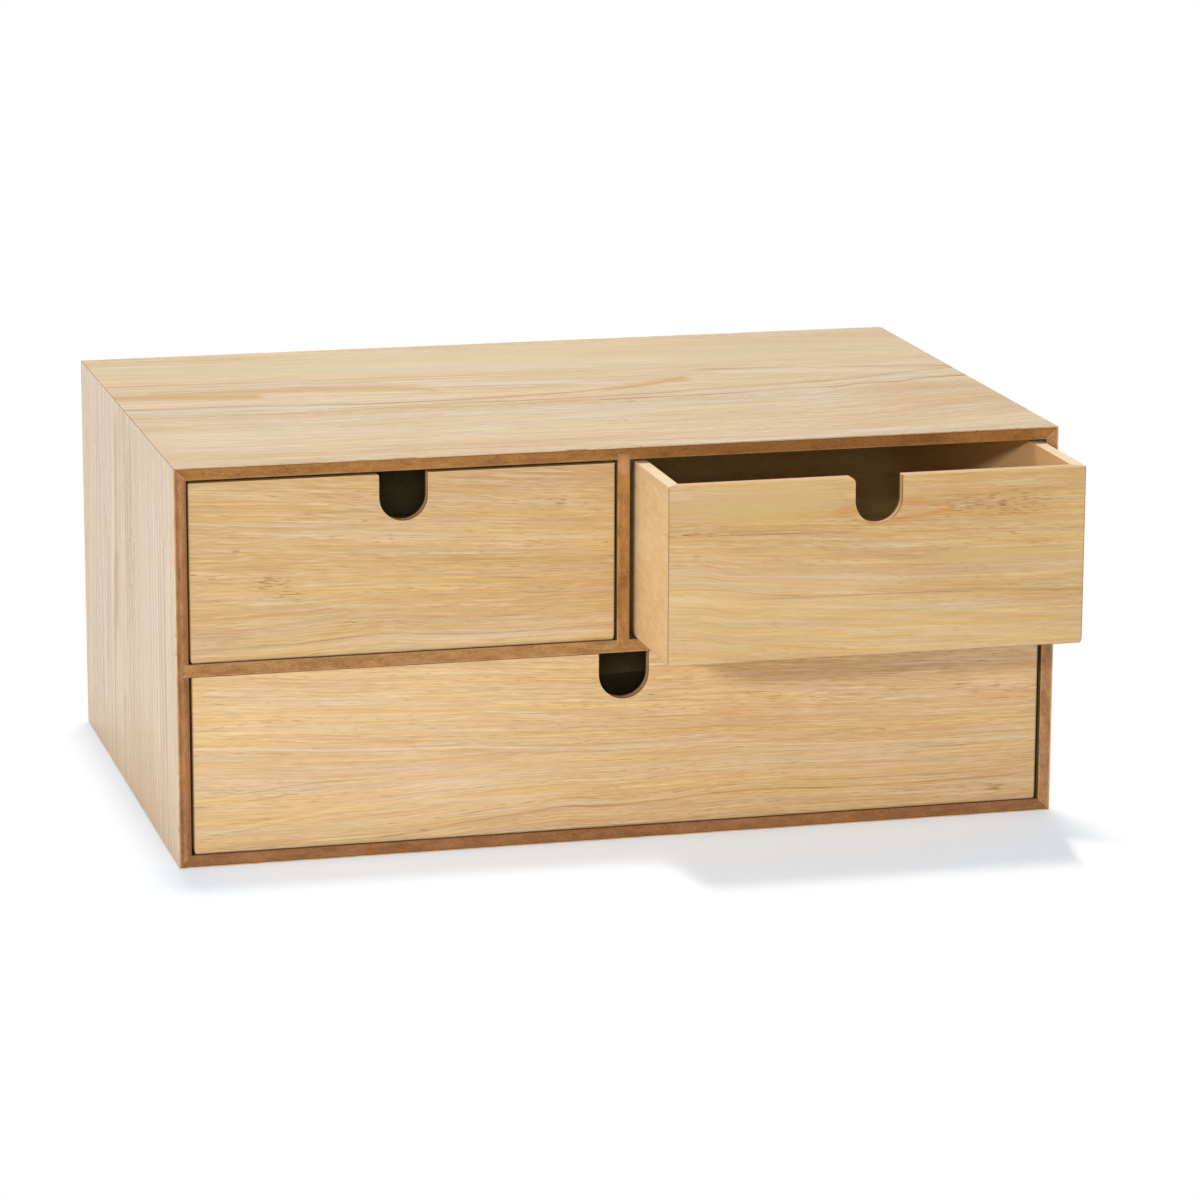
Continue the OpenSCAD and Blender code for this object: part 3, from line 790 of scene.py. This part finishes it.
def fibre_colour(g, spots, long_axis, stops, seed, marks=(), scale=1.0, specks=0.55):
    """Colour, height and mottle of pressed fibre: drawn-out fibres, specks, flakes and marks."""
    stretched = [g.times(spot, (ALONG_BOARD if axis == long_axis else 1.0) / scale)
                 for spot, axis in zip(spots, "XYZ")]
    place = g.node("CombineXYZ", {0: stretched[0], 1: stretched[1],
                                  2: g.add(stretched[2], seed)}).outputs[0]

    def at_size(size, detail, shift):
        scaled = g.node("VectorMath", {0: place, 1: (1 / size,) * 3, 2: (shift, shift, seed)},
                        operation="MULTIPLY_ADD")
        return g.noise(scaled.outputs[0], detail)

    mottle = at_size(*MOTTLE)
    fibre = at_size(*FIBRE)
    tone = g.add(0.5, g.times(at_size(*CLOUD), 0.55), g.times(mottle, 0.75), g.times(fibre, 0.8))
    colour = g.ramp(tone, stops)
    speck = g.spread(at_size(*SPECK), 0.20, 0.28, soft=True)
    flake = g.spread(at_size(*FLAKE), 0.20, 0.30, soft=True)
    colour = g.mix(g.times(speck, specks), colour, BOARD_SPECK)
    colour = g.mix(g.times(flake, specks * 0.5), colour, BOARD_FLAKE)
    for draw, mark_colour, least, most in marks:
        share = g.times(draw(g, spots), g.spread(mottle, -0.2, 0.2, least, most))
        colour = g.mix(share, colour, mark_colour)
    height = g.add(fibre, g.times(mottle, 0.6), g.times(speck, -0.6))
    return colour, height, mottle


def fibreboard(name, long_axis, stops, seed, marks=(), scale=1.0, specks=0.55, roughness=0.72):
    """A matt board of pressed fibre."""
    g = material_graph(name)
    spots = g.place_mm(CABINET_LOW)
    colour, height, mottle = fibre_colour(g, spots, long_axis, stops, seed, marks, scale, specks)
    rough = g.add(roughness, g.times(height, 0.25), g.times(mottle, 0.1))
    return g.finish(colour, rough, height, BOARD_BUMP)


# Each mark is (where it lies, its colour, its least and its most share of the colour there).

def mitre_line(edge_x, edge_z, slope):
    """The glue line of a mitred corner, which leaves (edge_x, edge_z) along a diagonal."""
    def draw(g, spots):
        across = g.less(g.less(spots[0], edge_x), g.times(g.less(spots[2], edge_z), slope))
        return g.near(across, 0.22)
    return (draw, GLUE_PALE, 0.35, 0.8)


def stripe(axis, first, last, fade=0.08):
    """Everything between two places along one axis, in mm."""
    def draw(g, spots):
        return g.between(spots["XYZ".index(axis)], first, last, fade)
    return draw


def oval(x, z, reach_x, reach_z):
    """A soft oval patch on a face that looks to the front."""
    def draw(g, spots):
        return in_patch(g, spots[0], spots[2], x, z, reach_x, reach_z)
    return draw


def both(*parts):
    """Where several marks lie over each other."""
    def draw(g, spots):
        return g.times(*[part(g, spots) for part in parts])
    return draw


# ------------------------ pieces and their materials

def dress(node, material):
    """Gives a CAD node one material, all over."""
    mesh = NODES[node].data
    mesh.materials.clear()
    mesh.materials.append(material)


def corner_of(node):
    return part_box(node)[0]


def box_mm(node):
    """A node's low and high corner in mm from the cabinet's own corner."""
    low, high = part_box(node)
    return (low - CABINET_LOW) * PER_MM, (high - CABINET_LOW) * PER_MM


def scaled_stops(stops, factor):
    """The same stops with each part of their colours times a factor."""
    return [(place, tuple(part * share for part, share in zip(colour[:3], factor)) + (1.0,))
            for place, colour in stops]


DARK_LINE = srgb(104, 64, 34)
LIGHT_LINE = srgb(222, 176, 118)
PEACH = srgb(206, 150, 112)
GREENISH = srgb(176, 160, 112)
KHAKI = srgb(170, 136, 84)

# For each board: the long axis, the seed and the factor on its colours.
BOARDS = {
    "top": ("X", 0.0, (0.90, 0.84, 0.58)),
    "bottom": ("X", 7.3, (0.84, 0.80, 0.84)),
    "left": ("Z", 14.6, (0.82, 0.77, 0.68)),
    "right": ("Z", 21.9, (1.14, 1.22, 1.5)),
    "shelf": ("X", 31.0, (1.03, 1.10, 1.08)),
    "divider": ("Z", 37.0, (1.0, 1.03, 0.81)),
}
BACK_PANEL_SEED = 43.0
BACK_PANEL_FACTOR = (0.8, 0.72, 0.62)

# How the front edge of each sheet glued to a board differs from that board.
SHEET_EDGES = {
    "top_lining": (KHAKI, 0.2, 0.6),
    "bottom_lining": (DARK_LINE, 0.0, 0.3),
    "left_lining": (DARK_LINE, 0.1, 0.5),
    "right_lining": (LIGHT_LINE, 0.1, 0.6),
    "shelf_upper_veneer": (KHAKI, 0.0, 0.4),
    "shelf_lower_veneer": (PEACH, 0.0, 0.7),
    "divider_left_veneer": (PEACH, 0.0, 0.9),
    "divider_right_veneer": (DARK_LINE, 0.0, 0.4),
}

# The grain of each outer sheet: the axes along and across it, and how the sheet is drawn.
OUTER_SHEETS = {
    "top": ("XY", TOP),
    "bottom": ("XY", UNDERSIDE),
    "left": ("ZY", LEFT),
    "right": ("ZY", RIGHT),
}


def board_marks():
    """Glue lines, rims and patches on the front edges of the cabinet's boards, and painted shade along
    the foot of the bottom board's edge.
    """
    width, height = CABINET_WIDTH, CABINET_HEIGHT
    shelf_low = box_mm("shelf_board")[0]
    divider_low, divider_high = box_mm("divider_board")
    middle = (divider_low.x + divider_high.x) / 2
    return {
        "top": [mitre_line(0, height, -1), mitre_line(width, height, 1),
                (stripe("Z", height - 0.75, height - 0.3, 0.15), DARK_LINE, 0.3, 0.8),
                (oval(width * 0.7, height - 2.5, 80, 4), DARK_LINE, 0.1, 0.3)],
        # Painted shade: a dark line along the foot of the bottom board's front edge, just above the
        # floor.
        "bottom": [(stripe("Z", 0.3, 0.8, 0.15), DARK_LINE, 0.2, 0.6)],
        "left": [mitre_line(0, height, -1),
                 (stripe("X", 0.4, 0.95, 0.2), LIGHT_LINE, 0.3, 0.7),
                 (stripe("X", 1.6, 3.6, 0.8), PEACH, 0.1, 0.45),
                 (stripe("X", 4.2, 4.7, 0.2), DARK_LINE, 0.1, 0.5)],
        "right": [mitre_line(width, height, 1),
                  (stripe("X", width - 0.9, width - 0.4, 0.2), LIGHT_LINE, 0.2, 0.5)],
        "shelf": [(oval(middle - 5.5, shelf_low.z + 2.4, 3.2, 1.8), GREENISH, 0.2, 0.5)],
        "divider": [(oval(middle, divider_high.z - 4.5, 3, 5), PEACH, 0.4, 0.8)],
    }


def make_cabinet():
    marks = board_marks()
    for side, (long_axis, seed, factor) in BOARDS.items():
        stops = scaled_stops(BOARD_TONES, factor)
        dress(side + "_board", fibreboard(side + "_fibreboard", long_axis, stops, seed, marks[side]))
    for node, edge in SHEET_EDGES.items():
        long_axis, seed, factor = BOARDS[node.split("_")[0]]
        cut = (long_axis, scaled_stops(BOARD_TONES, factor), seed, edge)
        dress(node, oak(node + "_oak", long_axis + "Y", CABINET_LOW, INSIDE, cut=cut))
    dress("back_panel", fibreboard("back_hardboard", "X", scaled_stops(BOARD_TONES, BACK_PANEL_FACTOR),
                                   BACK_PANEL_SEED, scale=1.6, roughness=0.55))
    for side, (axes, sheet) in OUTER_SHEETS.items():
        dress(side + "_veneer", oak(side + "_oak", axes, CABINET_LOW, sheet))


DRAWER_TONES = [(0.1, srgb(222, 176, 122)), (0.5, srgb(238, 202, 150)), (0.9, srgb(246, 218, 172))]
RIM_CREAM = srgb(240, 214, 176)
RIM_ROSE = srgb(210, 170, 130)
PEACH_WOOD = srgb(236, 186, 140)
# Dark lines beside the drawer fronts' veneer, and painted shade on the rear of the notch's wall.
DARK_LINE_AND_SHADE_BROWN = srgb(112, 70, 40)
# Painted shade on the inner faces of the drawers' sides: a warmer copy of their wood near the front and
# a less orange one further back.
INNER_SHADE_WOOD = srgb(236, 188, 128)
DEEP_SHADE_WOOD = srgb(226, 194, 142)
NOTCH_TAN = srgb(204, 160, 112)

# Half the width and the depth of the box round a finger notch in which its layers are drawn, in mm.
NOTCH_HALF = 11
NOTCH_DEEP = 20

# For each drawer: its front's sheet, the corner that it is measured from, the seed of the boards and
# the factor on the colours of the back board, which is seen through the notch. That factor is painted
# shade: each back is darkened by its own amount to stand in for the shade inside its drawer.
DRAWERS = {
    "left_drawer": (UPPER_LEFT, CABINET_LOW, 51.0, (0.64, 0.72, 0.57)),
    "right_drawer": (UPPER_RIGHT, corner_of("right_drawer_front_veneer"), 63.0,
                     (0.50, 0.55, 0.47)),
    "wide_drawer": (WIDE, CABINET_LOW, 75.0, (0.80, 0.88, 0.72)),
}
# How far the seed of each other board lies from its drawer's.
SEED_STEPS = {"_left_side": 3.0, "_right_side": 4.0, "_bottom": 6.0, "_back": 9.0}
DRAWER_FLOOR_FACTOR = (0.95, 1.08, 1.16)
# The drawers' fibre is coarser and plainer than the cabinet's.
DRAWER_WALL = {"scale": 1.3, "specks": 0.1, "roughness": 0.6}
DRAWER_FLOOR = {"scale": 1.6, "specks": 0.3, "roughness": 0.6}


def front_board_marks(name):
    """The layers that show in the finger notch and along the top of a drawer's front board, with painted
    shade on the rear of the notch's wall.
    """
    low, high = box_mm(name + "_front")
    middle = (low.x + high.x) / 2
    notch = both(stripe("X", middle - NOTCH_HALF, middle + NOTCH_HALF),
                 stripe("Z", high.z - NOTCH_DEEP, high.z - 0.1))
    top = stripe("Z", high.z - 0.3, high.z + 1)
    return [
        (both(notch, stripe("Y", low.y - 0.5, high.y + 0.5)), NOTCH_TAN, 0.7, 1.0),
        # Painted shade on the rear of the notch's wall.
        (both(notch, stripe("Y", high.y - 1.2, high.y + 0.3, 0.4)), DARK_LINE_AND_SHADE_BROWN, 0.7, 1.0),
        (both(notch, stripe("Y", low.y - 0.3, low.y + 1.4, 0.3)), DARK_LINE_AND_SHADE_BROWN, 0.5, 0.85),
        (both(top, stripe("Y", low.y + 0.9, high.y + 0.3, 0.3)), RIM_ROSE, 0.5, 0.9),
        (both(top, stripe("Y", low.y - 0.2, low.y + 0.8, 0.3)), DARK_LINE_AND_SHADE_BROWN, 0.5, 0.9),
    ]


def side_board_marks(name):
    """The pale top edge and the peach borders of a drawer's side boards, with painted shade on their
    inner faces: a warmer copy of the wood near the front and a less orange one further back.
    """
    low, high = box_mm(name)
    inner_x = high.x if "left_side" in name else low.x
    inner_face = stripe("X", inner_x - 0.4, inner_x + 0.4)
    return [
        (stripe("Z", high.z - 4.5, high.z, 2.0), PEACH_WOOD, 0.2, 0.6),
        (stripe("Z", low.z, low.z + 5, 2.5), PEACH_WOOD, 0.2, 0.6),
        (stripe("Z", high.z - 0.28, high.z + 1), RIM_CREAM, 0.8, 1.0),
        # Painted shade on the inner face, in two copies of the wood.
        (inner_face, INNER_SHADE_WOOD, 0.85, 1.0),
        (both(inner_face, stripe("Y", low.y + 40, high.y + 60, 45)), DEEP_SHADE_WOOD, 0.85, 1.0),
    ]


def make_drawer(name, sheet, corner, seed, back_shade_factor):
    parts = ("_front_veneer", "_front", "_back", "_bottom")
    veneer, front, back, floor = [name + part for part in parts]
    dress(veneer, oak(name + "_oak", "XZ", corner, sheet, rim=box_mm(veneer)))
    dress(front, fibreboard(front + "_board", "X", DRAWER_TONES, seed, front_board_marks(name),
                            **DRAWER_WALL))
    dress(back, fibreboard(back + "_board", "X", scaled_stops(DRAWER_TONES, back_shade_factor),
                           seed + SEED_STEPS["_back"], **DRAWER_WALL))
    for side in ("_left_side", "_right_side"):
        wall = name + side
        dress(wall, fibreboard(wall + "_board", "Y", DRAWER_TONES, seed + SEED_STEPS[side],
                               side_board_marks(wall), **DRAWER_WALL))
    dress(floor, fibreboard(floor + "_board", "X", scaled_stops(DRAWER_TONES, DRAWER_FLOOR_FACTOR),
                            seed + SEED_STEPS["_bottom"], **DRAWER_FLOOR))


# ------------------------ studio

FLOOR_HALF = 15.0
FLOOR_COLOUR = (0.88, 0.90, 0.93, 1.0)
FLOOR_LIFT = (0.22, 0.275, 0.33, 1.0)
# The floor turns to plain white between these distances from the cabinet's foot, in metres, and is
# painted plain white beyond them, over any shadow that falls there.
FRONT_FADE = (0.030, 0.056)
LEFT_FADE = (-0.004, 0.036)
BACK_FADE = 0.012
# On the right it does so over this part of a reach that grows ahead of the cabinet's front.
RIGHT_FADE_PART = (-0.7, 1.0)
RIGHT_FADE = 0.018
RIGHT_FADE_BEHIND = 0.004
RIGHT_FADE_GROWTH = 0.03
# The open drawer's own shadow moves the front fade ahead by this part of how far it stands out.
DRAWER_SHADOW_SHARE = 0.7
DRAWER_SHADOW_FADE = 0.01
WORLD_LIGHT = 0.365


def seen_directly(g):
    """1 for rays from the camera, from gloss and through glass, and 0 for scattered light."""
    ray = g.node("LightPath").outputs
    return g.most(ray["Is Camera Ray"], ray["Is Glossy Ray"], ray["Is Transmission Ray"])


def painted_white_share(g):
    """How far the floor is painted plain white over its shadows, away from the cabinet and the open
    drawer's shadow.
    """
    x, y, _ = g.node("SeparateXYZ", {0: g.node("TexCoord").outputs["Object"]}).outputs
    ahead_of_front = g.less(CABINET_LOW.y, y)
    drawer_low, drawer_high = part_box("right_drawer_front")
    below_drawer = g.between(x, drawer_low.x, drawer_high.x, DRAWER_SHADOW_FADE)
    shadow = g.times(below_drawer, DRAWER_SHADOW_SHARE * (CABINET_LOW.y - drawer_low.y))
    reach = g.spread(ahead_of_front, 0.0, RIGHT_FADE_GROWTH, RIGHT_FADE_BEHIND, RIGHT_FADE)
    right_share = g.calc("DIVIDE", g.less(x, CABINET_HIGH.x), reach)
    past_right = g.spread(right_share, *RIGHT_FADE_PART, soft=True)
    past_left = g.spread(g.less(CABINET_LOW.x, x), *LEFT_FADE, soft=True)
    past_front = g.spread(g.less(ahead_of_front, shadow), *FRONT_FADE, soft=True)
    past_back = g.spread(g.less(y, CABINET_HIGH.y), 0.0, BACK_FADE, soft=True)
    return g.most(past_left, past_right, past_front, past_back)


def make_floor():
    """A wide pale floor, painted plain white away from the cabinet over any shadow that falls there."""
    half = FLOOR_HALF
    mesh = bpy.data.meshes.new("floor")
    corners = [(-half, -half, 0), (half, -half, 0), (half, half, 0), (-half, half, 0)]
    mesh.from_pydata(corners, [], [(0, 1, 2, 3)])
    floor = bpy.data.objects.new("floor", mesh)
    bpy.context.scene.collection.objects.link(floor)
    g = material_graph("studio_floor")
    seen = seen_directly(g)
    diffuse = g.node("BsdfDiffuse", {"Color": FLOOR_COLOUR})
    lift = g.node("Emission", {"Color": FLOOR_LIFT, "Strength": seen})
    near = g.node("AddShader", {0: diffuse.outputs[0], 1: lift.outputs[0]})
    far = g.node("Emission", {"Color": WHITE, "Strength": 1.0})
    whole = g.node("MixShader", {0: g.times(seen, painted_white_share(g)), 1: near.outputs[0],
                                 2: far.outputs[0]})
    g.node("OutputMaterial", {"Surface": whole.outputs[0]})
    mesh.materials.append(g.owner)


def make_world():
    """White where it is seen, and a dimmer even light on everything else."""
    world = bpy.data.worlds.new("studio_world")
    bpy.context.scene.world = world
    g = Graph(world)
    strength = g.spread(seen_directly(g), 0.0, 1.0, WORLD_LIGHT, 1.0)
    sky = g.node("Background", {"Color": WHITE, "Strength": strength})
    g.node("OutputWorld", {"Surface": sky.outputs[0]})


def aim(thing, target, roll=0.0):
    """Points a camera or lamp at the target, then rolls it about its own view."""
    look = (Vector(target) - thing.location).to_track_quat("-Z", "Y")
    thing.rotation_mode = "QUATERNION"
    thing.rotation_quaternion = look @ Matrix.Rotation(roll, 4, "Z").to_quaternion()


CAMERA_PLACE = (-0.48230, -1.94036, 0.54239)
CAMERA_TARGET = (0.0202, 0.0, 0.0702)
CAMERA_ROLL = math.radians(0.20)
CAMERA_LENS = 146.8
CAMERA_SENSOR = 36.0
CAMERA_NEAR = 0.05
CAMERA_FAR = 60.0

# Each soft lamp: its place and its size in metres, and its power in watts.
LAMPS = {
    "overhead_softbox": ((-0.06, 0.23, 1.50), (0.30, 0.30), 12.0),
    "key_softbox": ((-1.61, -1.96, 0.88), (0.34, 0.18), 27.0),
    "fill_softbox": ((1.50, -2.15, 0.64), (1.20, 1.20), 2.0),
    "front_softbox": (CAMERA_PLACE, (0.12, 0.12), 1.9),
}
LAMP_TARGET = (0.0, 0.0, 0.08)


def make_lamps():
    """Lamps that give plain soft light and aren't seen themselves."""
    for name, (place, size, power) in LAMPS.items():
        lamp = bpy.data.lights.new(name, "AREA")
        lamp.shape = "RECTANGLE"
        lamp.size, lamp.size_y = size
        lamp.energy = power
        thing = bpy.data.objects.new(name, lamp)
        thing.location = place
        thing.visible_camera = False
        thing.visible_glossy = False
        bpy.context.scene.collection.objects.link(thing)
        aim(thing, LAMP_TARGET)


def make_camera():
    camera = bpy.data.cameras.new("camera")
    camera.lens = CAMERA_LENS
    camera.sensor_width = CAMERA_SENSOR
    camera.clip_start = CAMERA_NEAR
    camera.clip_end = CAMERA_FAR
    thing = bpy.data.objects.new("camera", camera)
    thing.location = CAMERA_PLACE
    bpy.context.scene.collection.objects.link(thing)
    aim(thing, CAMERA_TARGET, CAMERA_ROLL)
    bpy.context.scene.camera = thing


# ------------------------ the whole scene

make_camera()
make_world()
make_floor()
make_lamps()
make_cabinet()
for drawer, looks in DRAWERS.items():
    make_drawer(drawer, *looks)

bpy.context.scene.view_settings.view_transform = "Standard"
